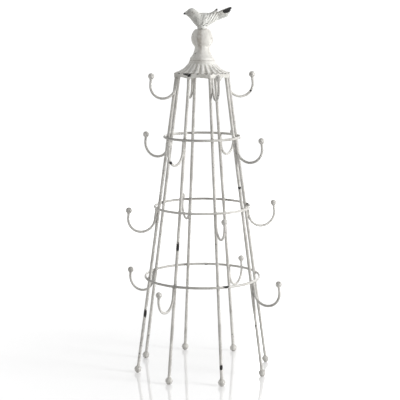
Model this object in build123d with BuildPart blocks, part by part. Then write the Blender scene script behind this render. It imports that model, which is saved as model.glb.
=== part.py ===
"""A wire jewellery tree: eight splayed legs, three rings, sixteen hooks and a cast bird finial.

The stand is modelled upright on the floor, +Z up, with its axis on Z. Angles round the axis start
at the front (-Y) and turn towards +X.
"""
import os
from math import atan, cos, degrees, radians, sin, tan

from build123d import *

os.makedirs("parts", exist_ok=True)

# Wire and ball sizes
LEG_WIRE = 3.5
RING_WIRE = 2.8
HOOK_WIRE = 2.8
FOOT_BALL = 8.0
HOOK_BALL = 7.0
# How deep one wire is set into another where they are welded
WELD_SET = 0.2

# Legs: where the line through a leg meets the rim and the foot ball
FOOT_FLAT = 0.2
FOOT_HEIGHT = FOOT_BALL / 2 - FOOT_FLAT
FOOT_RADIUS = 76.4
LEG_RADIUS_AT_RIM = 30.0
LEG_COUNT = 8

# Eight-sided collar that holds the leg tops
RIM_BOTTOM = 333.3
RIM_TOP = 338.3
RIM_CORNER_RADIUS = 32.4
RIM_CORNER_ROUND = 1.6
RIM_WALL = 4.8
RIM_WEB = 1.6
ARCH_WIDTH = 15.0
ARCH_RISE = 0.9

# Fluted cap on the collar
CAP_RADIUS = 28.9
CAP_LIP = 0.6
CAP_THROAT = 14.4
CAP_TOP = 351.5
CAP_FLARE = ((24.4, 340.8), (20.5, 343.2), (17.3, 346.4))
BEAD_BOTTOM = 347.9
BEAD_RADIUS = 15.0
BEAD_DEPTH = 0.6
FLUTE_COUNT = 24
FLUTE_PATH = (
    # distance from the axis, height, radius of the flute
    (16.2, 350.8, 1.5),
    (18.7, 346.8, 1.95),
    (22.5, 343.6, 2.6),
    (27.1, 341.5, 3.0),
)

# Ball and neck on the cap
SPINDLE_TOP = 385.8
SPINDLE_TOP_RADIUS = 7.8
BALL_CENTRE = 375.4
BALL_RADIUS = 12.3
BALL_JOIN = (8.9, 367.2)
NECK = ((10.6, 358.0), (9.5, 360.9), (8.5, 364.8))
FOOT_BEAD_SEAT = 13.6
FOOT_BEAD_RADIUS = 13.9
FOOT_BEAD_HEIGHT = 352.8
FOOT_BEAD_TOP = (12.3, 355.7)

# Rod, washer and nut that hold the finial down
ROD = 5.0
ROD_INTO_BIRD = 6.0
WASHER = 11.0
WASHER_THICK = 1.0
NUT_ACROSS_FLATS = 8.0
NUT_HEIGHT = 3.2
ROD_BELOW_NUT = 0.5
ROD_CHAMFER = 0.3

# Rings, and the hooks that hang from them
RING_HEIGHTS = {"upper": 266.5, "middle": 187.7, "lower": 107.5}
RING_SEAM = 180 / LEG_COUNT
TOP_HOOK_BEND = 14.4
HOOK_BEND = 15.4
HOOK_DROP = 24.7
HOOK_LEAN = 6.0
BALL_BELOW_RING = 1.1
BALL_ABOVE_RIM = 1.8
SHANK_BELOW_RING = 0.9
# Hand bending: how far top hooks hang off their tier and are turned on their shanks
TOP_HOOK_LIFTS = {"back": -3.5}
TOP_HOOK_TURNS = {"front": -3.5, "back": -6.0}
# How far single balls stand above or below the rest of their tier
BALL_LIFTS = {
    "tier3_front": -3.0,
    "tier3_right": 1.4,
    "tier4_back_right": 4.0,
    "tier4_front_right": 1.4,
    "tier4_front_left": -2.0,
    "tier4_back_left": -1.8,
}

# Bird: the way it faces round the axis, and its round foot
BIRD_HEADING = -90.0
BIRD_FOOT_RADIUS = 5.4
BIRD_FOOT_HEIGHT = 0.8
BIRD_FOOT_INTO_BODY = 4.0

# Shape of the bird in its own frame: x forwards to the beak, y to its left, z up from its breast
BODY_STATIONS = (
    # forwards, top, bottom, half width, height of the widest place
    (18.6, 18.6, 15.2, 1.4, 16.8),
    (17.2, 19.8, 13.9, 2.9, 16.7),
    (15.0, 21.5, 12.1, 4.4, 16.6),
    (12.0, 22.4, 8.9, 5.4, 15.5),
    (8.0, 21.0, 4.0, 6.8, 11.5),
    (4.0, 17.8, 1.2, 7.7, 10.0),
    (-1.0, 17.3, 0.6, 8.0, 9.8),
    (-6.0, 17.2, 2.0, 7.4, 10.3),
    (-11.0, 17.0, 4.9, 6.0, 11.4),
    (-16.5, 17.2, 7.9, 4.4, 12.9),
    (-21.0, 17.6, 10.6, 2.4, 14.6),
)
BEAK_STATIONS = (
    # forwards, height, half width, half depth
    (17.2, 17.0, 2.4, 2.5),
    (19.2, 16.8, 1.5, 1.7),
    (21.6, 16.0, 0.5, 0.6),
)
EYE = (12.0, 5.1, 17.8)
EYE_RADIUS = 0.9
# Feathers of the left side: root, tip, width, thickness and the way the flat side faces
SHOULDER = ((2.6, 6.1, 4.4), (-3.0, 6.7, 15.0), 7.0, 4.8, (0.2, 1, 0))
RAISED_FEATHER = ((-7.5, 5.4, 14.0), (-17.8, 1.8, 21.7), 3.4, 2.6, (0, 1, 0.6))
WING_FEATHER_COUNT = 6
FIRST_WING_FEATHER = ((1.6, 7.3, 3.8), (-3.4, 7.6, 14.8), 4.0, 3.0, (0, 1, 0))
LAST_WING_FEATHER = ((-11.6, 5.8, 7.4), (-15.4, 5.0, 16.8), 4.0, 2.6, (0, 1, 0))
TAIL_FEATHER_COUNT = 5
FIRST_TAIL_FEATHER = ((-11.0, 1.8, 13.7), (-33.6, 2.2, 22.3), 4.8, 2.6, (0, 1, 0.9))
LAST_TAIL_FEATHER = ((-11.0, 3.4, 9.9), (-28.8, 5.6, 14.0), 4.4, 2.4, (0, 1, 0.9))
MIDDLE_TAIL_FEATHER = ((-11.0, 0, 14.2), (-34.0, 0, 23.1), 5.6, 3.0, (0, 0, 1))

# Places round the axis
FRONT_LEGS = {"front": 0, "right": 90, "back": 180, "left": 270}
CORNER_LEGS = {"front_right": 45, "back_right": 135, "back_left": 225, "front_left": 315}
ALL_LEGS = FRONT_LEGS | CORNER_LEGS

LEG_SLOPE = (FOOT_RADIUS - LEG_RADIUS_AT_RIM) / (RIM_BOTTOM - FOOT_HEIGHT)
LEG_TILT = degrees(atan(LEG_SLOPE))
WEB_UNDERSIDE = RIM_TOP - RIM_WEB


def leg_radius(height):
    """Distance from the axis to a leg's centre line at a height."""
    return LEG_RADIUS_AT_RIM + (RIM_BOTTOM - height) * LEG_SLOPE


def beside_leg(wire):
    """Distance from a leg's centre line to that of a wire welded to it."""
    return (LEG_WIRE + wire) / 2 - WELD_SET


def outside_leg(wire):
    """The same distance, measured level, for a wire on the leg's outer side."""
    return beside_leg(wire) / cos(radians(LEG_TILT))


def radial_plane(angle):
    """Upright plane through the axis: local x points outwards at the angle, local y points up."""
    outwards = Vector(sin(radians(angle)), -cos(radians(angle)), 0)
    return Plane(origin=(0, 0, 0), x_dir=outwards, z_dir=outwards.cross(Vector(0, 0, 1)))


def write(piece, node):
    piece.part.label = node
    export_step(piece.part, f"parts/{node}.step")


# Legs: straight wires, cut level where they meet the collar's web
legs = {}
for place, angle in ALL_LEGS.items():
    with BuildPart() as leg:
        with BuildLine(radial_plane(angle)) as leg_line:
            above_web = RIM_TOP + LEG_WIRE
            Line((FOOT_RADIUS, FOOT_HEIGHT), (leg_radius(above_web), above_web))
        with BuildSketch(Plane(leg_line.line @ 0, z_dir=leg_line.line % 0)):
            Circle(LEG_WIRE / 2)
        sweep(path=leg_line.line)
        split(bisect_by=Plane.XY.offset(WEB_UNDERSIDE), keep=Keep.BOTTOM)
    legs[place] = leg
    write(leg, f"leg_{place}")

# Feet: balls bored for the leg ends, each with a small level flat to stand on
for place, angle in ALL_LEGS.items():
    with BuildPart() as foot:
        with Locations(radial_plane(angle).from_local_coords((FOOT_RADIUS, FOOT_HEIGHT, 0))):
            Sphere(FOOT_BALL / 2)
        add(legs[place].part, mode=Mode.SUBTRACT)
        split(bisect_by=Plane.XY, keep=Keep.TOP)
    write(foot, f"foot_{place}")


def hoop(height, mode=Mode.ADD):
    """A plain hoop of ring wire that lies on the outer sides of the legs at a height."""
    with Locations((0, 0, height)):
        Torus(
            leg_radius(height) + outside_leg(RING_WIRE),
            RING_WIRE / 2,
            rotation=(0, 0, RING_SEAM),
            mode=mode,
        )


# Rings: hoops notched where they are welded to the legs
for name, height in RING_HEIGHTS.items():
    with BuildPart() as ring:
        hoop(height)
        add([leg.part for leg in legs.values()], mode=Mode.SUBTRACT)
    write(ring, f"ring_{name}")

# Collar: an eight-sided band with a web on top, a socket for each leg and a low arch between legs
arch_radius = ((ARCH_WIDTH / 2) ** 2 + ARCH_RISE**2) / (2 * ARCH_RISE)
inner_corner_radius = RIM_CORNER_RADIUS - RIM_WALL / cos(radians(180 / LEG_COUNT))
with BuildPart() as leg_collar:
    with BuildSketch(Plane.XY.offset(RIM_BOTTOM)):
        RegularPolygon(RIM_CORNER_RADIUS, LEG_COUNT)
    extrude(amount=RIM_TOP - RIM_BOTTOM)
    fillet(leg_collar.edges().filter_by(Axis.Z), RIM_CORNER_ROUND)
    with BuildSketch(Plane.XY.offset(RIM_BOTTOM)):
        RegularPolygon(inner_corner_radius, LEG_COUNT)
    extrude(amount=WEB_UNDERSIDE - RIM_BOTTOM, mode=Mode.SUBTRACT)
    for side in range(LEG_COUNT):
        facing = radial_plane((side + 0.5) * 360 / LEG_COUNT)
        arch_plane = Plane(
            origin=(0, 0, RIM_BOTTOM + ARCH_RISE - arch_radius),
            x_dir=facing.z_dir,
            z_dir=facing.x_dir,
        )
        with BuildSketch(arch_plane):
            Circle(arch_radius)
        extrude(amount=RIM_CORNER_RADIUS, mode=Mode.SUBTRACT)
    add([leg.part for leg in legs.values()], mode=Mode.SUBTRACT)
    with Locations((0, 0, RIM_TOP)):
        Hole(ROD / 2)
write(leg_collar, "leg_collar")


def hook_line(plane, shank_offset, shank_top, bottom, bend_radius, ball_height):
    """The centre line of a J hook on its upright plane: shank down the leg, bend, arm up to the ball."""
    bend_start = bottom + bend_radius * (1 - sin(radians(LEG_TILT)))
    shank_end = (leg_radius(bend_start) + shank_offset, bend_start)
    down_leg = (sin(radians(LEG_TILT)), -cos(radians(LEG_TILT)))
    with BuildLine(plane) as wire:
        Line((leg_radius(shank_top) + shank_offset, shank_top), shank_end)
        bend = JernArc(shank_end, down_leg, bend_radius, 180 - LEG_TILT + HOOK_LEAN)
        bend_end = plane.to_local_coords(bend @ 1)
        arm_rise = ball_height - bend_end.Y
        Line((bend_end.X, bend_end.Y), (bend_end.X - arm_rise * tan(radians(HOOK_LEAN)), ball_height))
    return wire.line


def hook_wire(line):
    """Round wire along a hook's centre line."""
    with BuildPart() as wire:
        with BuildSketch(Plane(line @ 0, z_dir=line % 0)):
            Circle(HOOK_WIRE / 2)
        sweep(path=line)
    return wire.part


def write_hook_and_ball(line, hook, name):
    """The hook, and the ball on its end, bored for the wire."""
    with BuildPart() as ball:
        with Locations(line @ 1):
            Sphere(HOOK_BALL / 2)
        add(hook.part, mode=Mode.SUBTRACT)
    write(hook, f"hook_{name}")
    write(ball, f"ball_{name}")


# Hooks of the top tier stand beside their legs, cut level where they butt against the rim
for place, angle in FRONT_LEGS.items():
    ball_height = RIM_BOTTOM + BALL_ABOVE_RIM + TOP_HOOK_LIFTS.get(place, 0)
    straight = hook_line(
        radial_plane(angle).offset(-beside_leg(HOOK_WIRE)),
        0,
        RIM_BOTTOM + HOOK_WIRE,
        ball_height - HOOK_DROP,
        TOP_HOOK_BEND,
        ball_height,
    )
    line = straight.rotate(Axis(straight @ 0, -(straight % 0)), TOP_HOOK_TURNS.get(place, 0))
    with BuildPart() as shank_cut:
        with Locations((0, 0, RIM_BOTTOM)):
            Cylinder(RIM_CORNER_RADIUS + HOOK_WIRE, RIM_TOP, align=(Align.CENTER, Align.CENTER, Align.MIN))
    with BuildPart() as hook:
        add(hook_wire(line))
        add([legs[place].part, shank_cut.part], mode=Mode.SUBTRACT)
    write_hook_and_ball(line, hook, f"tier1_{place}")

# Hooks of the lower tiers lie on the outer sides of their legs and butt against the rings
for tier, ring_name, places in (
    (2, "upper", CORNER_LEGS),
    (3, "middle", FRONT_LEGS),
    (4, "lower", CORNER_LEGS),
):
    ring_height = RING_HEIGHTS[ring_name]
    tier_height = ring_height - BALL_BELOW_RING
    for place, angle in places.items():
        name = f"tier{tier}_{place}"
        line = hook_line(
            radial_plane(angle),
            outside_leg(HOOK_WIRE),
            ring_height - SHANK_BELOW_RING,
            tier_height - HOOK_DROP,
            HOOK_BEND,
            tier_height + BALL_LIFTS.get(name, 0),
        )
        with BuildPart() as hook:
            add(hook_wire(line))
            hoop(ring_height, Mode.SUBTRACT)
            add(legs[place].part, mode=Mode.SUBTRACT)
        write_hook_and_ball(line, hook, name)

# One flute: a tapering round cutter that follows the flare and ends in a ball
with BuildPart() as flute:
    for step, (out, height, size) in enumerate(FLUTE_PATH):
        ahead = FLUTE_PATH[min(step + 1, len(FLUTE_PATH) - 1)]
        behind = FLUTE_PATH[max(step - 1, 0)]
        direction = (ahead[0] - behind[0], 0, ahead[1] - behind[1])
        with BuildSketch(Plane((out, 0, height), x_dir=(0, 1, 0), z_dir=direction)):
            Circle(size)
    loft()
    with Locations((FLUTE_PATH[-1][0], 0, FLUTE_PATH[-1][1])):
        Sphere(FLUTE_PATH[-1][2])

# Fluted cap: a flared bell with a bead round its top
with BuildPart() as fluted_cap:
    with BuildSketch(Plane.XZ):
        with BuildLine():
            flare = Spline(
                (CAP_RADIUS, RIM_TOP + CAP_LIP),
                *CAP_FLARE,
                (CAP_THROAT, CAP_TOP),
                tangents=((-1, 0.12), (-0.12, 1)),
            )
            Polyline(flare @ 1, (0, CAP_TOP), (0, RIM_TOP), (CAP_RADIUS, RIM_TOP), flare @ 0)
        make_face()
    revolve(axis=Axis.Z)
    with PolarLocations(0, FLUTE_COUNT, start_angle=180 / FLUTE_COUNT):
        add(flute.part, mode=Mode.SUBTRACT)
    with BuildSketch(Plane.XZ):
        with BuildLine():
            bead = ThreePointArc(
                (BEAD_RADIUS - 2 * BEAD_DEPTH, CAP_TOP),
                (BEAD_RADIUS, (CAP_TOP + BEAD_BOTTOM) / 2),
                (BEAD_RADIUS - BEAD_DEPTH, BEAD_BOTTOM),
            )
            Polyline(bead @ 1, (0, BEAD_BOTTOM), (0, CAP_TOP), bead @ 0)
        make_face()
    revolve(axis=Axis.Z)
    with Locations((0, 0, CAP_TOP)):
        Hole(ROD / 2)
write(fluted_cap, "fluted_cap")

# Ball and neck: one turned piece with a bead at its foot
with BuildPart() as ball_spindle:
    with BuildSketch(Plane.XZ):
        with BuildLine():
            foot_bead = ThreePointArc(
                (FOOT_BEAD_SEAT, CAP_TOP),
                (FOOT_BEAD_RADIUS, FOOT_BEAD_HEIGHT),
                FOOT_BEAD_TOP,
            )
            neck = Spline(FOOT_BEAD_TOP, *NECK, BALL_JOIN, tangents=((-0.7, 1), (0.5, 1)))
            ball = ThreePointArc(BALL_JOIN, (BALL_RADIUS, BALL_CENTRE), (SPINDLE_TOP_RADIUS, SPINDLE_TOP))
            Polyline(ball @ 1, (0, SPINDLE_TOP), (0, CAP_TOP), foot_bead @ 0)
        make_face()
    revolve(axis=Axis.Z)
    with Locations((0, 0, SPINDLE_TOP)):
        Hole(ROD / 2)
write(ball_spindle, "ball_spindle")

# Rod, washer and nut
washer_bottom = WEB_UNDERSIDE - WASHER_THICK
nut_bottom = washer_bottom - NUT_HEIGHT
with BuildPart() as tie_rod:
    with BuildSketch(Plane.XY.offset(nut_bottom - ROD_BELOW_NUT)):
        Circle(ROD / 2)
    extrude(amount=SPINDLE_TOP + ROD_INTO_BIRD - nut_bottom + ROD_BELOW_NUT)
    chamfer(tie_rod.edges().group_by(Axis.Z)[0], ROD_CHAMFER)
write(tie_rod, "tie_rod")

with BuildPart() as rod_washer:
    with BuildSketch(Plane.XY.offset(washer_bottom)):
        Circle(WASHER / 2)
        Circle(ROD / 2, mode=Mode.SUBTRACT)
    extrude(amount=WASHER_THICK)
write(rod_washer, "rod_washer")

with BuildPart() as rod_nut:
    with BuildSketch(Plane.XY.offset(nut_bottom)):
        RegularPolygon(NUT_ACROSS_FLATS / 2, 6, major_radius=False)
        Circle(ROD / 2, mode=Mode.SUBTRACT)
    extrude(amount=NUT_HEIGHT)
write(rod_nut, "rod_nut")


def between(first, last, share):
    """A feather part of the way from the first of a row to the last."""
    ends = [Vector(a) + (Vector(b) - Vector(a)) * share for a, b in zip(first[:2], last[:2])]
    width, thickness = (a + (b - a) * share for a, b in zip(first[2:4], last[2:4]))
    return *ends, width, thickness, first[4]


def feather(root, tip, width, thickness, facing):
    """A leaf-shaped blade from root to tip, with its flat side facing the given way."""
    run = Vector(tip) - Vector(root)
    seat = Plane((Vector(root) + Vector(tip)) / 2, x_dir=run, z_dir=run.cross(Vector(facing).cross(run)))
    with BuildPart() as blade:
        Sphere(0.5)
        scale(by=(run.length, width, thickness))
    return seat.location * blade.part


def feather_row(first, last, count):
    """Evenly spread feathers from the first of a row to the last."""
    return [between(first, last, place / (count - 1)) for place in range(count)]


# Bird: body and beak, feathers on both sides, and a round foot bored for the rod
with BuildPart() as bird:
    for forwards, top, bottom, half_width, widest in BODY_STATIONS:
        with BuildSketch(Plane((forwards, 0, widest), x_dir=(0, 1, 0), z_dir=(1, 0, 0))):
            with BuildLine():
                EllipticalCenterArc((0, 0), half_width, top - widest, 0, arc_size=180)
                EllipticalCenterArc((0, 0), half_width, widest - bottom, 180, arc_size=180)
            make_face()
    loft()
    for forwards, height, half_width, half_depth in BEAK_STATIONS:
        with BuildSketch(Plane((forwards, 0, height), x_dir=(0, 1, 0), z_dir=(1, 0, 0))):
            Ellipse(half_width, half_depth)
    loft()
    wing_row = feather_row(FIRST_WING_FEATHER, LAST_WING_FEATHER, WING_FEATHER_COUNT)
    tail_row = feather_row(FIRST_TAIL_FEATHER, LAST_TAIL_FEATHER, TAIL_FEATHER_COUNT)
    for shape in (SHOULDER, RAISED_FEATHER, *wing_row, *tail_row):
        blade = feather(*shape)
        add(blade)
        add(mirror(blade, about=Plane.XZ, mode=Mode.PRIVATE))
    add(feather(*MIDDLE_TAIL_FEATHER))
    for side in (1, -1):
        with Locations((EYE[0], side * EYE[1], EYE[2])):
            Sphere(EYE_RADIUS)
    upwards = (Align.CENTER, Align.CENTER, Align.MIN)
    with Locations((0, 0, -BIRD_FOOT_HEIGHT)):
        Cylinder(BIRD_FOOT_RADIUS, BIRD_FOOT_HEIGHT + BIRD_FOOT_INTO_BODY, align=upwards)
        Cylinder(ROD / 2, ROD_INTO_BIRD, align=upwards, mode=Mode.SUBTRACT)

with BuildPart() as bird_finial:
    with Locations(Location((0, 0, SPINDLE_TOP + BIRD_FOOT_HEIGHT), (0, 0, BIRD_HEADING - 90))):
        add(bird.part)
write(bird_finial, "bird_finial")
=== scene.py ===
"""Looks of the jewellery tree: worn cream paint on wire and castings, weld beads and studio light."""

from math import atan, cos, pi, radians, sin

import bmesh
import bpy
import numpy as np
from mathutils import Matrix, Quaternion, Vector, noise


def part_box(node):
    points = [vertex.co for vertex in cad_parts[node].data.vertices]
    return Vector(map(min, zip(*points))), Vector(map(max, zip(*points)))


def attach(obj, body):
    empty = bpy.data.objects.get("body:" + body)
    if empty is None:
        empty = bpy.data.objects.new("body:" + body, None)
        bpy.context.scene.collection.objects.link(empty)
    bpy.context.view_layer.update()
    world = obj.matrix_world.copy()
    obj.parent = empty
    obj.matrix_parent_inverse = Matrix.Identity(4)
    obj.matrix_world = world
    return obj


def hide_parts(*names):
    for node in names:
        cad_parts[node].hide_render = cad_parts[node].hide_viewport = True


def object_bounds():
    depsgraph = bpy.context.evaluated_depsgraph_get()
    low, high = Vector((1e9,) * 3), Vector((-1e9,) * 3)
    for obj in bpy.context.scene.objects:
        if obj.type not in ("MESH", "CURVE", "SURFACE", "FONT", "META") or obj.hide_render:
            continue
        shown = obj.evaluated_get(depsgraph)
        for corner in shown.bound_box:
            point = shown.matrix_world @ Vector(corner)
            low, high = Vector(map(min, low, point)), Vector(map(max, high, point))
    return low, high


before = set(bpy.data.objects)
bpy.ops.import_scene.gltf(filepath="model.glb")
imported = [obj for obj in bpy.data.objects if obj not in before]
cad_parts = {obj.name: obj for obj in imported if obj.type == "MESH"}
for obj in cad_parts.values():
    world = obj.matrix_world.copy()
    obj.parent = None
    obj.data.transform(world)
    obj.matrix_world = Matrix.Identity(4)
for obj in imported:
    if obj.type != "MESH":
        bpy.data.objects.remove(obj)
cad_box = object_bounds()
MM = 0.001
UP = Vector((0, 0, 1))

# Sizes repeated from the part's source, in millimetres and degrees
LEG_WIRE = 3.5
RING_WIRE = 2.8
HOOK_WIRE = 2.8
FOOT_BALL = 8.0
HOOK_BALL = 7.0
WELD_SET = 0.2
FOOT_HEIGHT = 3.8
FOOT_RADIUS = 76.4
LEG_RADIUS_AT_RIM = 30.0
RIM_BOTTOM = 333.3
RING_HEIGHTS = {"upper": 266.5, "middle": 187.7, "lower": 107.5}
TOP_HOOK_BEND = 14.4
HOOK_BEND = 15.4
HOOK_DROP = 24.7
HOOK_LEAN = 6.0
BALL_BELOW_RING = 1.1
BALL_ABOVE_RIM = 1.8
FLUTE_COUNT = 24
FLUTE_TOP = 348.2
BIRD_BASE = 386.6
LEG_ANGLES = {
    "front": 0,
    "front_right": 45,
    "right": 90,
    "back_right": 135,
    "back": 180,
    "back_left": 225,
    "left": 270,
    "front_left": 315,
}
LEG_SLOPE = (FOOT_RADIUS - LEG_RADIUS_AT_RIM) / (RIM_BOTTOM - FOOT_HEIGHT)
LEG_TILT = atan(LEG_SLOPE)
HOOK_FROM_LEG = (LEG_WIRE + HOOK_WIRE) / 2 - WELD_SET

# The camera's place, direction and lens, in millimetres and degrees
CAMERA_AZIMUTH = -15.96
CAMERA_DISTANCE = 1423.8
CAMERA_HEIGHT = 422.5
CAMERA_PITCH = 9.092
CAMERA_YAW = 0.109
CAMERA_ROLL = -0.074
CAMERA_LENS = 114.98
CAMERA_SENSOR = 36.0


def outwards(angle):
    """Level unit vector away from the axis, at an angle from the front towards +X."""
    return Vector((sin(radians(angle)), -cos(radians(angle)), 0))


def sideways(angle):
    """Level unit vector across a leg, towards greater angles."""
    return Vector((cos(radians(angle)), sin(radians(angle)), 0))


def upwards(angle):
    """Unit vector up along a leg."""
    return UP * cos(LEG_TILT) - outwards(angle) * sin(LEG_TILT)


def leg_radius(height):
    """Distance of the legs' centre lines from the axis, in millimetres."""
    return LEG_RADIUS_AT_RIM + (RIM_BOTTOM - height) * LEG_SLOPE


def leg_point(angle, height):
    """Point on a leg's centre line, in millimetres."""
    return outwards(angle) * leg_radius(height) + UP * height


def ring_point(ring, angle):
    """Point on a ring's centre line, were it not set into the legs, in millimetres."""
    height = RING_HEIGHTS[ring]
    return outwards(angle) * (leg_radius(height) + (LEG_WIRE + RING_WIRE) / 2) + UP * height


class Hook:
    """Where one hook's parts are, in millimetres. A hook with no ring is of the top tier."""

    def __init__(self, place, ring=None):
        self.angle = LEG_ANGLES[place]
        self.bend = HOOK_BEND if ring else TOP_HOOK_BEND
        self.top = RING_HEIGHTS[ring] if ring else RIM_BOTTOM
        self.across = Vector() if ring else sideways(self.angle) * HOOK_FROM_LEG
        offset = HOOK_FROM_LEG / cos(LEG_TILT) if ring else 0.0
        level = self.top - BALL_BELOW_RING if ring else self.top + BALL_ABOVE_RIM
        self.bend_start = level - HOOK_DROP + self.bend * (1 - sin(LEG_TILT))
        out = leg_radius(self.bend_start) + offset + self.bend * cos(LEG_TILT)
        self.centre = outwards(self.angle) * out + self.across
        self.centre.z = level - HOOK_DROP + self.bend

    def bend_point(self, turn):
        """Point on the bend's centre line, at degrees from straight down towards the ball."""
        out = outwards(self.angle) * sin(radians(turn))
        return self.centre + (out - UP * cos(radians(turn))) * self.bend


# Tiers 1 and 3 hang on the legs at right angles, tiers 2 and 4 on the legs between them
HOOKS = {}
for tier, ring in ((1, None), (2, "upper"), (3, "middle"), (4, "lower")):
    for place, angle in LEG_ANGLES.items():
        if (angle % 90 == 0) == (tier in (1, 3)):
            HOOKS[f"tier{tier}_{place}"] = Hook(place, ring)


class Graph:
    """Short calls for a material's nodes. A value is a number, a colour or another node's output."""

    def __init__(self, name):
        self.material = bpy.data.materials.new(name)
        self.material.use_nodes = True
        self.tree = self.material.node_tree
        self.shader = self.tree.nodes["Principled BSDF"]
        self.place = self.add("ShaderNodeTexCoord").outputs["Object"]

    def add(self, kind, **settings):
        node = self.tree.nodes.new(kind)
        for key, value in settings.items():
            setattr(node, key, value)
        return node

    def feed(self, socket, value):
        if isinstance(value, bpy.types.NodeSocket):
            self.tree.links.new(value, socket)
        else:
            socket.default_value = value

    def math(self, operation, *values):
        node = self.add("ShaderNodeMath", operation=operation)
        for socket, value in zip(node.inputs, values):
            self.feed(socket, value)
        return node.outputs[0]

    def vector(self, operation, *values):
        node = self.add("ShaderNodeVectorMath", operation=operation)
        for socket, value in zip(node.inputs, values):
            self.feed(socket, value)
        return node.outputs["Value" if operation in ("LENGTH", "DOT_PRODUCT") else "Vector"]

    def split(self):
        """The place's x, y and z, in metres."""
        node = self.add("ShaderNodeSeparateXYZ")
        self.feed(node.inputs[0], self.place)
        return tuple(node.outputs)

    def noise(self, scale, detail, where=None):
        node = self.add("ShaderNodeTexNoise")
        node.inputs["Scale"].default_value = scale
        node.inputs["Detail"].default_value = detail
        self.feed(node.inputs["Vector"], where or self.place)
        return node.outputs["Fac"]

    def rise(self, value, low, high):
        """0 up to low and 1 from high on, smooth between; falls where low is above high."""
        node = self.add("ShaderNodeMapRange", interpolation_type="SMOOTHSTEP")
        self.feed(node.inputs["Value"], value)
        falls = low > high
        node.inputs["From Min"].default_value = min(low, high)
        node.inputs["From Max"].default_value = max(low, high)
        node.inputs["To Min"].default_value = 1.0 if falls else 0.0
        node.inputs["To Max"].default_value = 0.0 if falls else 1.0
        return node.outputs["Result"]

    def blend(self, share, first, second):
        """A share of the second colour in the first. The sockets' names repeat, so they go by number."""
        node = self.add("ShaderNodeMix", data_type="RGBA")
        self.feed(node.inputs[0], share)
        self.feed(node.inputs[6], first)
        self.feed(node.inputs[7], second)
        return node.outputs[2]

    def cover(self, colour, layer, share, strength):
        """A colour with a layer over it, where the share says and as strong as given."""
        return self.blend(self.math("MULTIPLY", share, strength), colour, layer)

    def apart(self, centre, reach):
        """Distance from a centre, counted in reaches along each axis."""
        away = self.vector("SUBTRACT", self.place, Vector(centre) * MM)
        return self.vector("LENGTH", self.vector("DIVIDE", away, Vector(reach) * MM))

    def hollow(self, distance):
        """1 in tight corners and 0 on open surface."""
        node = self.add("ShaderNodeAmbientOcclusion", samples=8)
        node.inputs["Distance"].default_value = distance * MM
        return self.math("SUBTRACT", 1.0, node.outputs["AO"])

    def bump(self, height, strength, distance, normal=None):
        node = self.add("ShaderNodeBump")
        node.inputs["Strength"].default_value = strength
        node.inputs["Distance"].default_value = distance * MM
        self.feed(node.inputs["Height"], height)
        if normal is not None:
            self.feed(node.inputs["Normal"], normal)
        return node.outputs["Normal"]


# Colours of the finish. Each paint has a clean and a dull tone. The collar's and the wires' paints
# are darker copies of the same cream paint, as painted shade
CAST_PAINT = ((0.800, 0.787, 0.747, 1), (0.63, 0.61, 0.565, 1))
BIRD_PAINT = ((0.800, 0.806, 0.776, 1), (0.63, 0.626, 0.588, 1))
SHADED_COLLAR_PAINT = ((0.700, 0.688, 0.650, 1), (0.53, 0.512, 0.475, 1))
SHADED_WIRE_PAINT = ((0.635, 0.622, 0.590, 1), (0.47, 0.456, 0.427, 1))
# Painted highlight for the crests between the flutes
CREST_HIGHLIGHT = (0.94, 0.93, 0.90, 1)
VARNISH = (0.27, 0.21, 0.16, 1)
# Grime, and painted shade in corners and carved grooves
GRIME_AND_SHADE = (0.25, 0.225, 0.19, 1)
# Patina, and painted shade on the rings' front-left tops and the bird's lower breast
PATINA_AND_SHADE = (0.20, 0.19, 0.175, 1)
PRIMER = (0.36, 0.31, 0.25, 1)
IRON = (0.022, 0.021, 0.021, 1)
STEEL = ((0.30, 0.30, 0.29, 1), (0.48, 0.47, 0.45, 1))

# Noise scales of the finish, per metre
MOTTLE_SCALE = 55
GROUP_SCALE = 75
CLOUD_SCALE = 190
BRUSH_SCALE = 260
GRAIN_SCALE = 420
RAGGED_SCALE = 650
TURNING_SCALE = 900

# Where each kind of wear, grime and painted shade starts to show, and where it is whole
TONE_RANGE = (0.48, 0.82)
CORNER_DARKENING_RANGE = (0.25, 0.60)
GROOVE_RANGE = (-0.04, -0.30)
DARK_PATCH_RANGE = (2.1, 0.8)
GROUP_RANGE = (0.60, 0.68)
CHIP_RANGE = (1.80, 1.72)
RIM_RANGE = (0.02, 0.50)
FLECK_EDGE = 0.04

# How much of each noise goes into the tone, the edges of dark patches and chips, and the roughness
TONE_FROM_GRAIN = 0.35
TONE_FROM_MOTTLE = 0.9
DARK_PATCH_RAGGED = 1.2
CHIP_RAGGED = 1.6
PRIMER_SHARE = 0.5
GRAIN_ROUGHNESS = 0.22
IRON_ROUGHNESS = 0.62
IRON_METAL = 0.45
STEEL_ROUGHNESS = 0.25
TURNING_ROUGHNESS = 0.3

# Strength and height in millimetres of brush marks in the paint, of the step down into a chip and of
# turning marks in the steel
BRUSH_BUMP = (0.25, 0.35)
CHIP_BUMP = (-0.8, 0.12)
TURNING_BUMP = (0.3, 0.05)


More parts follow.
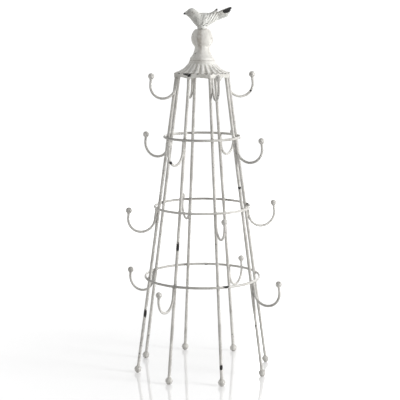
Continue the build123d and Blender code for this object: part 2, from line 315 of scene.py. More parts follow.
def painted(
    name,
    paint,
    chips=(),
    dark_patches=(),
    fleck_limit=0.58,
    grime_and_shade=(3.0, 0.8),
    soft_edge=0.0,
    overlay=None,
    relief=0.0,
    satin=0.36,
    gloss=0.35,
):
    """Worn cream paint over dark iron, with sizes in millimetres.

    Chips are (centre, reach) and dark patches are (centre, reach, strength), some of them painted shade.
    Corner darkening, dirt and painted shade from ambient occlusion, is the width of the corners that it
    fills and its strength there. Relief is the strength of the darkening in carved grooves, dirt and
    painted shade.
    """
    graph = Graph(name)
    mottle = graph.noise(MOTTLE_SCALE, 3)
    grain = graph.noise(GRAIN_SCALE, 4)
    mottled = graph.math("MULTIPLY", mottle, TONE_FROM_MOTTLE)
    tone = graph.math("MULTIPLY_ADD", grain, TONE_FROM_GRAIN, mottled)
    colour = graph.blend(graph.rise(tone, *TONE_RANGE), *paint)

    # Grime and painted shade darken the corners, from ambient occlusion
    corner_width, corner_strength = grime_and_shade
    corner = graph.math("MULTIPLY", graph.hollow(corner_width), graph.rise(grain, *CORNER_DARKENING_RANGE))
    colour = graph.cover(colour, GRIME_AND_SHADE, corner, corner_strength)
    if overlay:
        colour = overlay(graph, colour)
    # Carved grooves are darkened by their depth: grime and painted shade
    if relief:
        depth = graph.add("ShaderNodeAttribute", attribute_name="relief").outputs["Fac"]
        colour = graph.cover(colour, GRIME_AND_SHADE, graph.rise(depth, *GROOVE_RANGE), relief)
    # Dark patches: patina where the paint was handled, and painted shade on the rings' front-left tops
    # and the bird's lower breast
    cloudy = graph.noise(CLOUD_SCALE, 4)
    for centre, reach, strength in dark_patches:
        distance = graph.math("MULTIPLY_ADD", cloudy, DARK_PATCH_RAGGED, graph.apart(centre, reach))
        colour = graph.cover(colour, PATINA_AND_SHADE, graph.rise(distance, *DARK_PATCH_RANGE), strength)

    # Flecks fall in loose groups, and larger chips where they are asked for
    ragged = graph.noise(RAGGED_SCALE, 5)
    group = graph.rise(graph.noise(GROUP_SCALE, 1), *GROUP_RANGE)
    fleck = graph.rise(ragged, fleck_limit, fleck_limit + FLECK_EDGE)
    bare = graph.math("MULTIPLY", group, fleck)
    for centre, reach in chips:
        distance = graph.math("MULTIPLY_ADD", ragged, CHIP_RAGGED, graph.apart(centre, reach))
        bare = graph.math("MAXIMUM", bare, graph.rise(distance, *CHIP_RANGE))
    colour = graph.cover(colour, PRIMER, graph.rise(bare, *RIM_RANGE), PRIMER_SHARE)
    colour = graph.blend(bare, colour, IRON)
    graph.feed(graph.shader.inputs["Base Color"], colour)

    # Paint is satin, bare iron is rough and a little metallic
    paint_rough = graph.math("MULTIPLY_ADD", grain, GRAIN_ROUGHNESS, satin)
    iron_rough = graph.math("MULTIPLY", bare, IRON_ROUGHNESS)
    graph.feed(graph.shader.inputs["Roughness"], graph.math("MAXIMUM", paint_rough, iron_rough))
    graph.feed(graph.shader.inputs["Metallic"], graph.math("MULTIPLY", bare, IRON_METAL))
    graph.shader.inputs["Specular IOR Level"].default_value = gloss

    # Paint rounds the sharp edges of castings, and has brush marks
    edge = None
    if soft_edge:
        rounding = graph.add("ShaderNodeBevel", samples=4)
        rounding.inputs["Radius"].default_value = soft_edge * MM
        edge = rounding.outputs["Normal"]
    skin = graph.bump(graph.noise(BRUSH_SCALE, 4), *BRUSH_BUMP, edge)
    graph.feed(graph.shader.inputs["Normal"], graph.bump(bare, *CHIP_BUMP, skin))
    return graph.material


# Chips on the wires. Those the photograph shows face its camera (side 1), the others face away (-1)
SEEN = outwards(CAMERA_AZIMUTH)
LEG_CHIPS = (
    # leg, height, length, side
    ("left", 68.2, 10.0, 1),
    ("front_left", 150.4, 9.0, 1),
    ("front", 20.6, 6.0, 1),
    ("front_right", 212.0, 3.0, 1),
    ("back", 240.0, 6.0, -1),
    ("back_right", 60.0, 8.0, -1),
    ("right", 160.0, 5.0, -1),
    ("back_left", 128.0, 6.0, -1),
    ("back", 44.0, 7.0, -1),
    ("front_right", 92.0, 5.0, -1),
)
RING_CHIPS = (
    # ring, angle, length, side
    ("lower", 7.5, 7.0, 1),
    ("middle", 88.0, 4.0, 1),
    ("upper", 200.0, 5.0, -1),
    ("lower", 160.0, 6.0, -1),
    ("middle", 240.0, 5.0, -1),
)
HOOK_CHIPS = (
    # hook, place on the bend, length
    ("tier2_front_left", 46.0, 4.6),
    ("tier1_right", 55.0, 2.4),
)

# How far a chip's middle lies off the wire's centre line, and how far the chip reaches round it
LEG_CHIP_OFFSET = 1.5
LEG_CHIP_REACH = 2.3
RING_CHIP_OFFSET = 0.9
RING_CHIP_REACH = 1.4
RING_CHIP_LIFTS = {1: 0.6, -1: -0.7}
HOOK_CHIP_OFFSET = 0.8
wire_chips = []
for place, height, length, side in LEG_CHIPS:
    centre = leg_point(LEG_ANGLES[place], height) + SEEN * LEG_CHIP_OFFSET * side
    wire_chips.append((centre, (LEG_CHIP_REACH, LEG_CHIP_REACH, length / 2)))
for ring, angle, length, side in RING_CHIPS:
    centre = ring_point(ring, angle) + UP * RING_CHIP_LIFTS[side] + SEEN * RING_CHIP_OFFSET * side
    wire_chips.append((centre, (length / 2, length / 2, RING_CHIP_REACH)))
for name, turn, length in HOOK_CHIPS:
    centre = HOOKS[name].bend_point(turn) + SEEN * HOOK_CHIP_OFFSET
    wire_chips.append((centre, (length / 2, length / 2, length / 2)))

# Stretches of the rings whose tops are painted dark: painted shade at the front left of the upper and
# lower rings, and rubbed wear at the back of the middle ring. Ring, first and last angle
RING_RUBS_AND_SHADE = (("upper", -88.0, -24.0), ("lower", -84.0, -26.0), ("middle", 150.0, 196.0))
RING_PATCH_COUNT = 5
RING_PATCH_LIFT = 1.0
RING_PATCH_REACH = (9.0, 9.0, 1.7)
RING_PATCH_STRENGTH = 0.55
ring_rubs_and_shade = []
for ring, first, last in RING_RUBS_AND_SHADE:
    for step in range(RING_PATCH_COUNT):
        angle = first + (last - first) * step / (RING_PATCH_COUNT - 1)
        ring_rubs_and_shade.append((ring_point(ring, angle) + UP * RING_PATCH_LIFT, RING_PATCH_REACH, RING_PATCH_STRENGTH))

# Chips on the collar: angle, height, reach along the side and upwards
COLLAR_CHIP_RADIUS = 30.6
COLLAR_CHIPS = (
    (-50.7, 337.8, 4.6, 1.5),
    (-43.5, 336.7, 2.8, 2.2),
    (-55.5, 338.2, 3.6, 0.8),
    (-43.0, 338.0, 2.4, 1.0),
    (-74.0, 338.2, 1.6, 0.6),
    (-26.0, 338.3, 1.6, 0.6),
    (-8.0, 338.3, 1.4, 0.6),
    (1.0, 338.2, 2.0, 0.7),
    (13.0, 338.2, 2.2, 0.7),
    (28.0, 338.2, 2.2, 0.7),
    (38.0, 338.2, 1.6, 0.7),
    (48.0, 338.1, 2.0, 0.8),
    (66.0, 337.8, 2.0, 1.4),
    (84.0, 338.1, 2.4, 1.2),
    (130.0, 337.8, 3.4, 1.2),
    (172.0, 338.1, 2.6, 0.8),
    (206.0, 337.0, 3.2, 1.6),
    (248.0, 338.1, 2.8, 0.8),
)
collar_chips = []
for angle, height, along, up in COLLAR_CHIPS:
    centre = outwards(angle) * COLLAR_CHIP_RADIUS + UP * height
    collar_chips.append((centre, (along, along, up)))


def bird_place(point):
    """Point of the bird's own frame (forwards, left, up) in the row frame, in millimetres."""
    return Vector((-point[0], -point[1], BIRD_BASE + point[2]))


# Chips and dark patches of the bird, in its own frame: centre, reach and the patch's strength. The
# patches are mottling on the head, painted shade on the lower breast, a dark line along the top of the
# left wing tip and a dark raised tip
BIRD_CHIPS = (
    ((-25.6, 3.0, 18.6), (3.2, 3.4, 2.2)),
    ((-28.6, 3.0, 20.0), (4.4, 3.6, 2.6)),
    ((-32.0, 2.4, 22.0), (3.4, 3.4, 2.0)),
    ((-17.2, 2.2, 21.2), (1.4, 1.6, 1.4)),
    ((-26.0, -3.5, 17.0), (3.0, 2.4, 2.0)),
    ((20.6, 0.0, 16.4), (1.8, 1.8, 1.2)),
)
BIRD_PATINA_AND_SHADE = (
    ((14.5, 2.0, 16.6), (4.8, 7.0, 4.4), 0.55),
    ((8.5, 3.0, 9.0), (4.6, 7.0, 6.0), 0.36),
    ((-9.6, 4.4, 16.8), (3.4, 3.0, 0.9), 0.60),
    ((-15.8, 2.0, 19.8), (2.4, 3.6, 2.6), 0.85),
)
bird_chips = [(bird_place(centre), reach) for centre, reach in BIRD_CHIPS]
bird_patina_and_shade = [(bird_place(centre), reach, strength) for centre, reach, strength in BIRD_PATINA_AND_SHADE]

# Faint upright streaks on the ball and neck
STREAK_SCALE = 3.4
STREAK_STRETCH = (0, 0, 45)
STREAK_RANGE = (0.48, 0.80)
STREAK_STRENGTH = 0.26

# One plain run of old varnish above the neck: its angle, how near to it, and from which height on
RUN_ANGLE = -32.0
RUN_RANGE = (0.975, 1.03)
RUN_WANDER_SCALE = 150
RUN_WANDER = 0.05
RUN_PATCHES = (0.25, 0.60)
RUN_HEIGHTS = (357.0, 366.0)
RUN_STRENGTH = 0.55


def varnish_runs(graph, colour):
    """Streaks and a run of varnish over the paint of a turned piece."""
    level = graph.vector("MULTIPLY", graph.place, (1, 1, 0))
    away = graph.vector("NORMALIZE", level)
    drift = graph.vector("MULTIPLY", graph.place, STREAK_STRETCH)
    streaky = graph.noise(STREAK_SCALE, 4, graph.vector("ADD", away, drift))
    colour = graph.cover(colour, GRIME_AND_SHADE, graph.rise(streaky, *STREAK_RANGE), STREAK_STRENGTH)
    height = graph.split()[2]
    above_neck = graph.rise(height, *(edge * MM for edge in RUN_HEIGHTS))
    facing = graph.vector("DOT_PRODUCT", away, outwards(RUN_ANGLE))
    wander = graph.math("MULTIPLY_ADD", graph.noise(RUN_WANDER_SCALE, 4), RUN_WANDER, facing)
    patches = graph.rise(graph.noise(BRUSH_SCALE, 3), *RUN_PATCHES)
    run = graph.math("MULTIPLY", graph.rise(wander, *RUN_RANGE), patches)
    run = graph.math("MULTIPLY", run, above_neck)
    return graph.cover(colour, VARNISH, run, RUN_STRENGTH)


# Painted highlight: the crests between the cap's flutes are lightened in the colour, in patches
CREST_RANGE = (0.15, 0.75)
CREST_PATCH_SCALE = 300
CREST_PATCH_RANGE = (0.30, 0.50)
CREST_TOPS = (FLUTE_TOP + 0.6, FLUTE_TOP - 0.2)


def crest_highlights(graph, colour):
    """A painted highlight on the crests between the flutes, in patches."""
    x, y, height = graph.split()
    wave = graph.math("COSINE", graph.math("MULTIPLY", graph.math("ARCTAN2", y, x), FLUTE_COUNT))
    highlight_patches = graph.rise(graph.noise(CREST_PATCH_SCALE, 3), *CREST_PATCH_RANGE)
    crest = graph.math("MULTIPLY", graph.rise(wave, *CREST_RANGE), highlight_patches)
    fluted = graph.rise(height, *(edge * MM for edge in CREST_TOPS))
    return graph.blend(graph.math("MULTIPLY", crest, fluted), colour, CREST_HIGHLIGHT)


wire_paint = painted(
    "worn_wire_paint",
    SHADED_WIRE_PAINT,
    wire_chips,
    ring_rubs_and_shade,
    fleck_limit=0.60,
    satin=0.30,
    gloss=0.4,
)
collar_paint = painted(
    "worn_collar_paint",
    SHADED_COLLAR_PAINT,
    collar_chips,
    fleck_limit=0.56,
    soft_edge=0.45,
)
cast_paint = painted(
    "worn_cast_paint",
    CAST_PAINT,
    grime_and_shade=(2.4, 1.6),
    soft_edge=0.2,
    overlay=crest_highlights,
)
turned_paint = painted(
    "worn_turned_paint",
    CAST_PAINT,
    grime_and_shade=(2.0, 0.3),
    overlay=varnish_runs,
)
bird_paint = painted(
    "worn_bird_paint",
    BIRD_PAINT,
    bird_chips,
    bird_patina_and_shade,
    grime_and_shade=(1.5, 1.0),
    relief=0.75,
)


def steel():
    """Dull zinc-plated steel with fine turning marks."""
    graph = Graph("dull_steel")
    marks = graph.noise(TURNING_SCALE, 3)
    graph.feed(graph.shader.inputs["Base Color"], graph.blend(marks, *STEEL))
    rough = graph.math("MULTIPLY_ADD", marks, TURNING_ROUGHNESS, STEEL_ROUGHNESS)
    graph.feed(graph.shader.inputs["Roughness"], rough)
    graph.shader.inputs["Metallic"].default_value = 1.0
    graph.feed(graph.shader.inputs["Normal"], graph.bump(marks, *TURNING_BUMP))
    return graph.material


fastener_steel = steel()

# Finish of each solid. All that isn't named here is wire with its balls
FINISHES = {
    "leg_collar": collar_paint,
    "fluted_cap": cast_paint,
    "ball_spindle": turned_paint,
    "bird_finial": bird_paint,
    "tie_rod": fastener_steel,
    "rod_washer": fastener_steel,
    "rod_nut": fastener_steel,
}
for name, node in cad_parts.items():
    for slot in node.material_slots:
        slot.material = FINISHES.get(name, wire_paint)


def piece(name, mesh, material):
    """A new piece of the object, in its place in the row frame."""
    mesh.materials.clear()
    mesh.materials.append(material)
    made = bpy.data.objects.new(name, mesh)
    bpy.context.scene.collection.objects.link(made)
    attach(made, "root")
    return made


# Unevenness of weld beads: its depth, and its scale over one bead and from bead to bead
LUMP_DEPTH = 0.16
LUMP_SCALE = 1.7
LUMP_SPREAD = 0.73
RIPPLE_DEPTH = 0.35
RIPPLE_SCALE = 2.3
RIPPLE_SPREAD = 0.7
BEAD_STEPS = 28
BEAD_SIDES = 10


class Beads:
    """Weld beads gathered into one piece: uneven lumps and rings, in millimetres."""

    def __init__(self):
        self.mesh = bmesh.new()

    def lump(self, centre, axes, sizes):
        """An uneven lump, with a half size along each of three axes."""
        for vert in bmesh.ops.create_icosphere(self.mesh, subdivisions=3, radius=1.0)["verts"]:
            swell = 1 + LUMP_DEPTH * noise.noise(vert.co * LUMP_SCALE + centre * LUMP_SPREAD)
            offset = Vector()
            for axis, size, share in zip(axes, sizes, vert.co):
                offset += axis * size * share
            vert.co = (centre + offset * swell) * MM

    def ring(self, centre, axis, radius, size):
        """An uneven ring round an axis."""
        axis = axis.normalized()
        first = axis.orthogonal().normalized()
        second = axis.cross(first)
        rows = []
        for step in range(BEAD_STEPS):
            turn = 2 * pi * step / BEAD_STEPS
            out = first * cos(turn) + second * sin(turn)
            ripple = noise.noise(centre * RIPPLE_SPREAD + out * RIPPLE_SCALE)
            swell = size * (1 + RIPPLE_DEPTH * ripple)
            row = []
            for side in range(BEAD_SIDES):
                tilt = 2 * pi * side / BEAD_SIDES
                offset = out * (radius + swell * cos(tilt)) + axis * swell * sin(tilt)
                row.append(self.mesh.verts.new((centre + offset) * MM))
            rows.append(row)
        for step in range(BEAD_STEPS):
            here, ahead = rows[step], rows[(step + 1) % BEAD_STEPS]
            for side in range(BEAD_SIDES):
                after = (side + 1) % BEAD_SIDES
                self.mesh.faces.new((here[side], ahead[side], ahead[after], here[after]))

    def finish(self, name):
        bmesh.ops.recalc_face_normals(self.mesh, faces=self.mesh.faces)
        for face in self.mesh.faces:
            face.smooth = True
        mesh = bpy.data.meshes.new(name)
        self.mesh.to_mesh(mesh)
        self.mesh.free()
        return piece(name, mesh, wire_paint)


# Weld beads where rings cross legs, and the seam of each ring: half sizes across, outwards and up
CROSSING_BEAD = (2.2, 0.95, 1.9)
CROSSING_SINK = 0.1
SEAM_BEAD = (1.1, 1.62, 1.62)
SEAM_ANGLE = 202.5
beads = Beads()
for ring, height in RING_HEIGHTS.items():
    for angle in LEG_ANGLES.values():
        out = outwards(angle)
        touch = leg_point(angle, height) + out * (LEG_WIRE / 2 - CROSSING_SINK)
        beads.lump(touch, (sideways(angle), out, UP), CROSSING_BEAD)
    out = outwards(SEAM_ANGLE)
    seam = ring_point(ring, SEAM_ANGLE) - out * WELD_SET
    beads.lump(seam, (sideways(SEAM_ANGLE), out, UP), SEAM_BEAD)
beads.finish("ring_weld_beads")

# Weld beads along both sides of each hook's shank: half sizes towards the hook, across and along it
SHANK_BEAD = (0.72, 0.62, 2.0)
SHANK_BEAD_SINK = 0.02
SHANK_BEAD_ACROSS = 0.95
SHANK_BEAD_BELOW_TOP = 3.4
SHANK_BEAD_ABOVE_BEND = 1.6

# Rings of weld: their thickness and how far they sink into the wire
BEAD_SINK = 0.05
BUTT_BEAD = 0.42
BUTT_BELOW_TOP = 1.3
LEG_TOP_BEAD = 0.45
LEG_TOP_BELOW_RIM = 0.15
HOOK_BALL_BEAD = 0.38
HOOK_BALL_SINK = 0.28
FOOT_BEAD = 0.42
FOOT_SINK = 0.35
beads = Beads()
for hook in HOOKS.values():
    out, side, up = outwards(hook.angle), sideways(hook.angle), upwards(hook.angle)
    towards, over = (side, out) if hook.across.length else (out, side)
    for height in (hook.top - SHANK_BEAD_BELOW_TOP, hook.bend_start + SHANK_BEAD_ABOVE_BEND):
        groove = leg_point(hook.angle, height) + towards * (LEG_WIRE / 2 - SHANK_BEAD_SINK)
        for hand in (1, -1):
            beads.lump(groove + over * SHANK_BEAD_ACROSS * hand, (towards, over, up), SHANK_BEAD)
    butt = leg_point(hook.angle, hook.top - BUTT_BELOW_TOP) + towards * HOOK_FROM_LEG
    beads.ring(butt, up, HOOK_WIRE / 2 - BEAD_SINK, BUTT_BEAD)
beads.finish("hook_weld_beads")

# Beads round the leg tops under the collar
beads = Beads()
for angle in LEG_ANGLES.values():
    leg_top = leg_point(angle, RIM_BOTTOM - LEG_TOP_BELOW_RIM)
    beads.ring(leg_top, upwards(angle), LEG_WIRE / 2 - BEAD_SINK, LEG_TOP_BEAD)
beads.finish("leg_top_weld_beads")

# Beads where wires go into the balls and the feet
beads = Beads()
for name, hook in HOOKS.items():
    low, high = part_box(f"ball_{name}")
    middle = (Vector(low) + Vector(high)) / 2 / MM
    middle.z = high[2] / MM - HOOK_BALL / 2
    arm = UP * cos(radians(HOOK_LEAN)) - outwards(hook.angle) * sin(radians(HOOK_LEAN))
    beads.ring(middle - arm * (HOOK_BALL / 2 - HOOK_BALL_SINK), arm, HOOK_WIRE / 2, HOOK_BALL_BEAD)
for angle in LEG_ANGLES.values():
    leg = upwards(angle)
    foot = outwards(angle) * FOOT_RADIUS + UP * FOOT_HEIGHT
    beads.ring(foot + leg * (FOOT_BALL / 2 - FOOT_SINK), leg, LEG_WIRE / 2, FOOT_BEAD)
beads.finish("ball_entry_beads")

# Single feathers of the bird, in its own frame: root, tip, width, thickness, facing
SHOULDER = ((2.6, 6.1, 4.4), (-3.0, 6.7, 15.0), 7.0, 4.8, (0.2, 1, 0))
MIDDLE_TAIL_FEATHER = ((-11.0, 0, 14.2), (-34.0, 0, 23.1), 5.6, 3.0, (0, 0, 1))

# Rows of feathers on its left side: root, tip, width and thickness of the first and the last
WING_ROW = (
    ((1.6, 7.3, 3.8), (-3.4, 7.6, 14.8), 4.0, 3.0),
    ((-11.6, 5.8, 7.4), (-15.4, 5.0, 16.8), 4.0, 2.6),
)
WING_COUNT = 6
WING_FACING = (0, 1, 0)
TAIL_ROW = (
    ((-11.0, 1.8, 13.7), (-33.6, 2.2, 22.3), 4.8, 2.6),
    ((-11.0, 3.4, 9.9), (-28.8, 5.6, 14.0), 4.4, 2.4),
)
TAIL_COUNT = 5
TAIL_FACING = (0, 1, 0.9)

# The raised tip of its left wing: root, knee and tip of the curve, and the radius half way
RAISED_TIP = ((-5.0, 5.6, 15.6), (-15.2, 3.4, 15.2), (-17.0, 0.9, 22.0))
RAISED_TIP_RADIUS = 1.4


def feather_row(row, count, facing):
    """Feathers spread evenly from the first of a row to the last."""
    first, last = row
    made = []
    for step in range(count):
        share = step / (count - 1)
        root, tip = (Vector(a).lerp(Vector(b), share) for a, b in zip(first[:2], last[:2]))
        width, thickness = (a + (b - a) * share for a, b in zip(first[2:], last[2:]))
        made.append((root, tip, width, thickness, facing))
    return made


def both_hands(left_feathers):
    """Feathers of the left side, and the same on the right."""
    made = []
    for hand in (1, -1):
        for root, tip, width, thickness, facing in left_feathers:
            turned = [(p[0], p[1] * hand, p[2]) for p in (root, tip, facing)]
            made.append((turned[0], turned[1], width, thickness, turned[2]))
    return made


wing_feathers = both_hands(feather_row(WING_ROW, WING_COUNT, WING_FACING))
tail_and_shoulders = both_hands([SHOULDER] + feather_row(TAIL_ROW, TAIL_COUNT, TAIL_FACING))
feathers = [MIDDLE_TAIL_FEATHER] + tail_and_shoulders + wing_feathers


def unit(values):
    return values / np.linalg.norm(values)


# A point is on a feather when its shell is this near, as a share of the feather's size
FEATHER_REACH = 0.55
ON_FEATHER = 0.5
FAR_AWAY = 9.0

# Shaft, barbs and edges of a feather, in millimetres. The share is of the feather's half length
SHAFT_HEIGHT = 0.26
SHAFT_WIDTH = 0.40
BARB_DEPTH = 0.05
BARB_SPACING = 1.25
BARB_SLANT = 0.9
BARB_START = 0.45
MARKED_LENGTH = 0.47
EDGE_DEPTH = 0.70
EDGE_WIDTH = 0.12


def feather_marks(points, marked):
    """Raised shafts, slanting barbs and sunk edges of feathers, and which points lie on one."""
    height = np.zeros(len(points))
    nearest = np.full(len(points), FEATHER_REACH)
    second = np.full(len(points), FAR_AWAY)
    for root, tip, width, thickness, facing in marked:
        root, tip, facing = np.array(root), np.array(tip), np.array(facing, float)
        along = unit(tip - root)
        length = np.linalg.norm(tip - root)
        up = unit(facing - along * facing.dot(along))
        across = np.cross(up, along)
        local = points - (root + tip) / 2
        u, v, w = local @ along, local @ across, local @ up
        shell = np.sqrt((2 * u / length) ** 2 + (2 * v / width) ** 2 + (2 * w / thickness) ** 2)
        apart = np.abs(shell - 1)
        on = apart < nearest
        second = np.where(on, nearest, np.minimum(second, apart))
        nearest = np.where(on, apart, nearest)
        shaft = SHAFT_HEIGHT * np.exp(-((v / SHAFT_WIDTH) ** 2))
        wave = np.sin(2 * pi * (u - np.abs(v) * BARB_SLANT) / BARB_SPACING)
        barbs = BARB_DEPTH * wave * (1 - np.exp(-((v / BARB_START) ** 2)))
        height = np.where(on, (shaft + barbs) * (np.abs(u) < length * MARKED_LENGTH), height)
    on_one = nearest < ON_FEATHER
    edge = np.exp(-(((second - nearest) / EDGE_WIDTH) ** 2)) * on_one
    return height - EDGE_DEPTH * edge, on_one


# Long feathers of the wing: slope seen from the side, in degrees, spacing, depth, and the shares of
# the depth that make them round and set them into the surface
STROKE_SLOPE = 56.0
STROKE_SPACING = 2.65
STROKE_DEPTH = 1.00
STROKE_ROUND = 0.98
STROKE_LEVEL = 0.80


def wing_strokes(points):
    """Rounded feathers side by side, slanting up and back, with sharp grooves between them."""
    slope = radians(STROKE_SLOPE)
    across = (points[:, 0] * sin(slope) + points[:, 2] * cos(slope)) / STROKE_SPACING
    share = 2 * (across - np.floor(across)) - 1
    return STROKE_DEPTH * (np.sqrt(1 - STROKE_ROUND * share**2) - STROKE_LEVEL)


# Small feathers of the body: length, width, depth, and how far each laps over the row behind it.
# They are counted round a line through the body, and fade towards the head
SCALE_LENGTH = 2.0
SCALE_WIDTH = 2.2
SCALE_DEPTH = 0.38
SCALE_LAP = 0.45
SCALE_LEVEL = 0.6
BODY_LINE_HEIGHT = 8.0
BODY_RADIUS = 6.5
HEAD_FRONT = 15.0
HEAD_FADE = 8.0
HEAD_LEAST = 0.3


def scale_marks(points):
    """Small body feathers in staggered rows, each lapping over the row behind it."""
    rows = -points[:, 0] / SCALE_LENGTH
    around = np.arctan2(points[:, 1], points[:, 2] - BODY_LINE_HEIGHT)
    columns = around * BODY_RADIUS / SCALE_WIDTH
    height = np.zeros(len(points))
    for ahead in (0, 1):
        row = np.floor(rows) - ahead
        across = columns - 0.5 * (row % 2)
        share = 2 * (across - np.floor(across)) - 1
        edge = row + 1 + SCALE_LAP * (1 - share**2)
        height = np.where(rows < edge, (rows - row) / (1 + SCALE_LAP), height)
    fade = np.clip((HEAD_FRONT - points[:, 0]) / HEAD_FADE, HEAD_LEAST, 1)
    return SCALE_DEPTH * fade * (height - SCALE_LEVEL)


def rows_of_three(items, key):
    """A value of three numbers from each item, one row for each."""
    values = np.empty(len(items) * 3)
    items.foreach_get(key, values)
    return values.reshape(-1, 3)


def bird_points(mesh):
    """A mesh's points in the bird's own frame, in millimetres."""
    places = rows_of_three(mesh.vertices, "co")
    return places / MM * np.array((-1, -1, 1)) - np.array((0, 0, BIRD_BASE))


def softened(mesh, values, times):
    """Values at a mesh's points, drawn half way to the mean of their neighbours so many times."""
    ends = np.empty(len(mesh.edges) * 2, int)
    mesh.edges.foreach_get("vertices", ends)
    first, second = ends.reshape(-1, 2).T
    count = len(values)
    neighbours = np.bincount(ends, minlength=count)
    for step in range(times):
        total = np.bincount(first, values[second], count) + np.bincount(second, values[first], count)
        values = (values + total / neighbours) / 2
    return values


def add_raised_tips(mesh):
    """The raised tips of both wings, as blades along a curve, added to the bird's mesh."""
    grown = bmesh.new()
    grown.from_mesh(mesh)
    for hand in (1, -1):
        root, knee, tip = (Vector((x, y * hand, z)) for x, y, z in RAISED_TIP)
        for vert in bmesh.ops.create_icosphere(grown, subdivisions=5, radius=1.0)["verts"]:
            share = (1 + vert.co.x) / 2
            centre = root * (1 - share) ** 2 + knee * 2 * share * (1 - share) + tip * share**2
            along = ((knee - root) * (1 - share) + (tip - knee) * share).normalized()
            side = Vector((0, hand, 0)) - along * along.y * hand
            over = along.cross(side)
            away = (side * vert.co.y + over * vert.co.z) * RAISED_TIP_RADIUS
            vert.co = bird_place(centre + away) * MM
    grown.to_mesh(mesh)
    grown.free()


# The bird: the solid's own form with raised wing tips, grown together and softened as a casting is
CAST_VOXEL = 0.34
CAST_SOFTENING = 2
SMOOTHING_FACTOR = 0.5
bird_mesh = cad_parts["bird_finial"].data.copy()
add_raised_tips(bird_mesh)
bird = piece("bird_cast", bird_mesh, bird_paint)
remesh = bird.modifiers.new("cast", "REMESH")
remesh.mode = "VOXEL"
remesh.voxel_size = CAST_VOXEL * MM
soften = bird.modifiers.new("soften", "SMOOTH")
soften.factor = SMOOTHING_FACTOR
soften.iterations = CAST_SOFTENING
bpy.context.view_layer.update()
evaluated = bird.evaluated_get(bpy.context.evaluated_depsgraph_get())
shaped = bpy.data.meshes.new_from_object(evaluated)
bird.modifiers.clear()

# The wing is levelled sideways first, so that its long feathers can be marked on an even surface
WING_LEVELLING = 40
WING_INNER_SIDE = 4.0
own = bird_points(shaped)
on_wing = feather_marks(own, wing_feathers)[1] & (np.abs(own[:, 1]) > WING_INNER_SIDE)
level = bmesh.new()
level.from_mesh(shaped)
wing_points = [vert for vert, inside in zip(level.verts, on_wing) if inside]
for step in range(WING_LEVELLING):
    bmesh.ops.smooth_vert(level, verts=wing_points, factor=SMOOTHING_FACTOR, use_axis_y=True)
level.to_mesh(shaped)
level.free()

# Where the small feathers are: on the body, and shallower on the shoulders
BODY_BACK = -12.0
BODY_FRONT = 15.0
BODY_BOTTOM = 1.5
SHOULDER_BACK = -3.5
SHOULDER_TOP = 11.0
SHOULDER_SHARE = 0.4

# Where the raised wing tips are left plain
TIP_BOTTOM = 17.6
TIP_FRONT = -8.0
TIP_BACK = -18.5

# The left eye, the ring carved round it and the room it keeps free of feathers
EYE = (12.0, 5.1, 17.8)
EYE_RING_RADIUS = 1.25
EYE_RING_WIDTH = 0.28
EYE_RING_DEPTH = 0.28
EYE_ROOM = 2.2

# The mouth's line: where it starts, its height there, its slope, half its width, and its depth
MOUTH_START = 17.0
MOUTH_HEIGHT = 16.956
MOUTH_SLOPE = 0.14
MOUTH_HALF_WIDTH = 0.22
MOUTH_DEPTH = 0.25

# Less of the grooves' darkening, grime and painted shade, shows on the tail and the shoulders than
# elsewhere
TAIL_FRONT = -16.5
LIGHT_GROOVE_DARKENING = 0.35

# How often the long feathers are softened, and then the whole of the carving
FEATHER_SOFTENING = 2
CARVING_SOFTENING = 1
own = bird_points(shaped)
forward, left, up = own.T
raised, on_feather = feather_marks(own, feathers)
raised = np.where(on_wing, wing_strokes(own), raised)
raised = softened(shaped, raised, FEATHER_SOFTENING)
eye = np.linalg.norm(np.column_stack((forward, np.abs(left), up)) - np.array(EYE), axis=1)
trunk = (forward > BODY_BACK) & (forward < BODY_FRONT) & (up > BODY_BOTTOM)
on_body = trunk & (eye > EYE_ROOM) & ~on_feather
on_shoulder = on_feather & (forward > SHOULDER_BACK) & (up < SHOULDER_TOP)
scales = scale_marks(own)
raised = np.where(on_body, scales, raised)
raised = np.where(on_shoulder, scales * SHOULDER_SHARE, raised)
on_tip = (up > TIP_BOTTOM) & (forward < TIP_FRONT) & (forward > TIP_BACK)
raised = np.where(on_tip, 0, raised)
mouth_line = MOUTH_HEIGHT - (forward - MOUTH_START) * MOUTH_SLOPE
in_mouth = (forward > MOUTH_START) & (np.abs(up - mouth_line) < MOUTH_HALF_WIDTH)
raised = np.where(in_mouth, -MOUTH_DEPTH, raised)
raised = raised - EYE_RING_DEPTH * np.exp(-(((eye - EYE_RING_RADIUS) / EYE_RING_WIDTH) ** 2))
raised = softened(shaped, raised, CARVING_SOFTENING)

# The carving moves each point along its normal, and stays under the solid's top
places = rows_of_three(shaped.vertices, "co")
normals = rows_of_three(shaped.vertex_normals, "vector")
places += normals * raised[:, None] * MM
places[:, 2] = np.minimum(places[:, 2], cad_box[1][2])
shaped.vertices.foreach_set("co", places.ravel())
# The carving's depth darkens its grooves in the paint, as grime and painted shade
groove_grime_and_shade = np.where((forward < TAIL_FRONT) | on_shoulder, raised * LIGHT_GROOVE_DARKENING, raised)
shaped.attributes.new("relief", "FLOAT", "POINT").data.foreach_set("value", groove_grime_and_shade)
shaped.polygons.foreach_set("use_smooth", [True] * len(shaped.polygons))
shaped.update()
bird.data = shaped
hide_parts("bird_finial")


def seen_rays(tree):
    """1 for rays that the camera sees, straight or by gloss or glass, and 0 for light on the object."""
    path = tree.nodes.new("ShaderNodeLightPath")
    seen = path.outputs["Is Camera Ray"]
    for ray in ("Is Glossy Ray", "Is Transmission Ray"):
        either = tree.nodes.new("ShaderNodeMath")
        either.operation = "MAXIMUM"
        tree.links.new(seen, either.inputs[0])
        tree.links.new(path.outputs[ray], either.inputs[1])
        seen = either.outputs[0]
    return seen


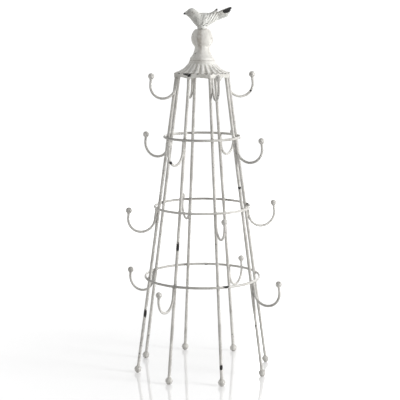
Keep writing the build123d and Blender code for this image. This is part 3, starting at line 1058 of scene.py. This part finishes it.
# A pale matt floor that shows near white, and has a faint polish round the object. Sizes in metres
FLOOR_SIZE = 600.0
FLOOR_COLOUR = (0.80, 0.80, 0.80, 1)
FLOOR_ROUGHNESS = 0.9
FLOOR_WHITE = 0.90
LAMPLIT_SHARE = 0.45
LAMPLIT_FALL = 2.0
POLISH_REACH = (0.6, 0.15)
POLISH_SHARE = 0.42
POLISH_ROUGHNESS = 0.05
bpy.ops.mesh.primitive_plane_add(size=FLOOR_SIZE, location=(0, 0, 0))
floor = bpy.context.object
floor.name = "studio_floor"
graph = Graph("studio_floor")
graph.shader.inputs["Base Color"].default_value = FLOOR_COLOUR
graph.shader.inputs["Roughness"].default_value = FLOOR_ROUGHNESS
graph.shader.inputs["Specular IOR Level"].default_value = 0.0
glow = graph.add("ShaderNodeEmission")
distance = graph.vector("LENGTH", graph.place)
lamplit = graph.math("DIVIDE", LAMPLIT_SHARE, graph.math("MULTIPLY_ADD", distance, LAMPLIT_FALL, 1.0))
lift = graph.math("SUBTRACT", FLOOR_WHITE, lamplit)
graph.feed(glow.inputs["Strength"], graph.math("MULTIPLY", seen_rays(graph.tree), lift))
matt = graph.add("ShaderNodeAddShader")
graph.feed(matt.inputs[0], graph.shader.outputs["BSDF"])
graph.feed(matt.inputs[1], glow.outputs["Emission"])
polished = graph.add("ShaderNodeBsdfGlossy")
polished.inputs["Roughness"].default_value = POLISH_ROUGHNESS
mixer = graph.add("ShaderNodeMixShader")
graph.feed(mixer.inputs[0], graph.math("MULTIPLY", graph.rise(distance, *POLISH_REACH), POLISH_SHARE))
graph.feed(mixer.inputs[1], matt.outputs["Shader"])
graph.feed(mixer.inputs[2], polished.outputs["BSDF"])
graph.feed(graph.tree.nodes["Material Output"].inputs["Surface"], mixer.outputs["Shader"])
floor.data.materials.append(graph.material)

# White surroundings for what the camera sees, dim light for the rest
WHITE = (1, 1, 1, 1)
FILL_STRENGTH = 0.31
world = bpy.data.worlds.new("studio")
bpy.context.scene.world = world
world.use_nodes = True
tree = world.node_tree
fill = tree.nodes["Background"]
fill.inputs["Color"].default_value = WHITE
fill.inputs["Strength"].default_value = FILL_STRENGTH
white = tree.nodes.new("ShaderNodeBackground")
white.inputs["Color"].default_value = WHITE
white.inputs["Strength"].default_value = 1.0
surround = tree.nodes.new("ShaderNodeMixShader")
tree.links.new(seen_rays(tree), surround.inputs[0])
tree.links.new(fill.outputs[0], surround.inputs[1])
tree.links.new(white.outputs[0], surround.inputs[2])
tree.links.new(surround.outputs[0], tree.nodes["World Output"].inputs["Surface"])

# Soft boxes: name, angle from the camera's side towards its right, distance, height, size, watts
LAMPS = (
    ("key", 70, 1.30, 0.54, 0.4, 14.8),
    ("side", -75, 1.40, 0.50, 0.5, 3.0),
    ("top", 40, 0.35, 1.50, 0.8, 1.2),
    ("back", 165, 1.40, 0.60, 0.6, 5.0),
)
LAMP_AIM = UP * 0.24
for name, angle, distance, height, size, watts in LAMPS:
    data = bpy.data.lights.new(f"{name}_softbox", "AREA")
    data.shape = "SQUARE"
    data.size = size
    data.energy = watts
    lamp = bpy.data.objects.new(f"{name}_softbox", data)
    lamp.location = outwards(CAMERA_AZIMUTH + angle) * distance + UP * height
    lamp.rotation_euler = (LAMP_AIM - lamp.location).to_track_quat("-Z", "Y").to_euler()
    bpy.context.scene.collection.objects.link(lamp)

# Camera
camera_data = bpy.data.cameras.new("camera")
camera_data.lens = CAMERA_LENS
camera_data.sensor_width = CAMERA_SENSOR
camera = bpy.data.objects.new("camera", camera_data)
bpy.context.scene.collection.objects.link(camera)
camera.location = (outwards(CAMERA_AZIMUTH) * CAMERA_DISTANCE + UP * CAMERA_HEIGHT) * MM
heading = -outwards(CAMERA_AZIMUTH + CAMERA_YAW)
aim = heading * cos(radians(CAMERA_PITCH)) - UP * sin(radians(CAMERA_PITCH))
turn = aim.to_track_quat("-Z", "Y") @ Quaternion((0, 0, 1), radians(CAMERA_ROLL))
camera.rotation_euler = turn.to_euler()
bpy.context.scene.camera = camera
bpy.context.scene.view_settings.view_transform = "Standard"
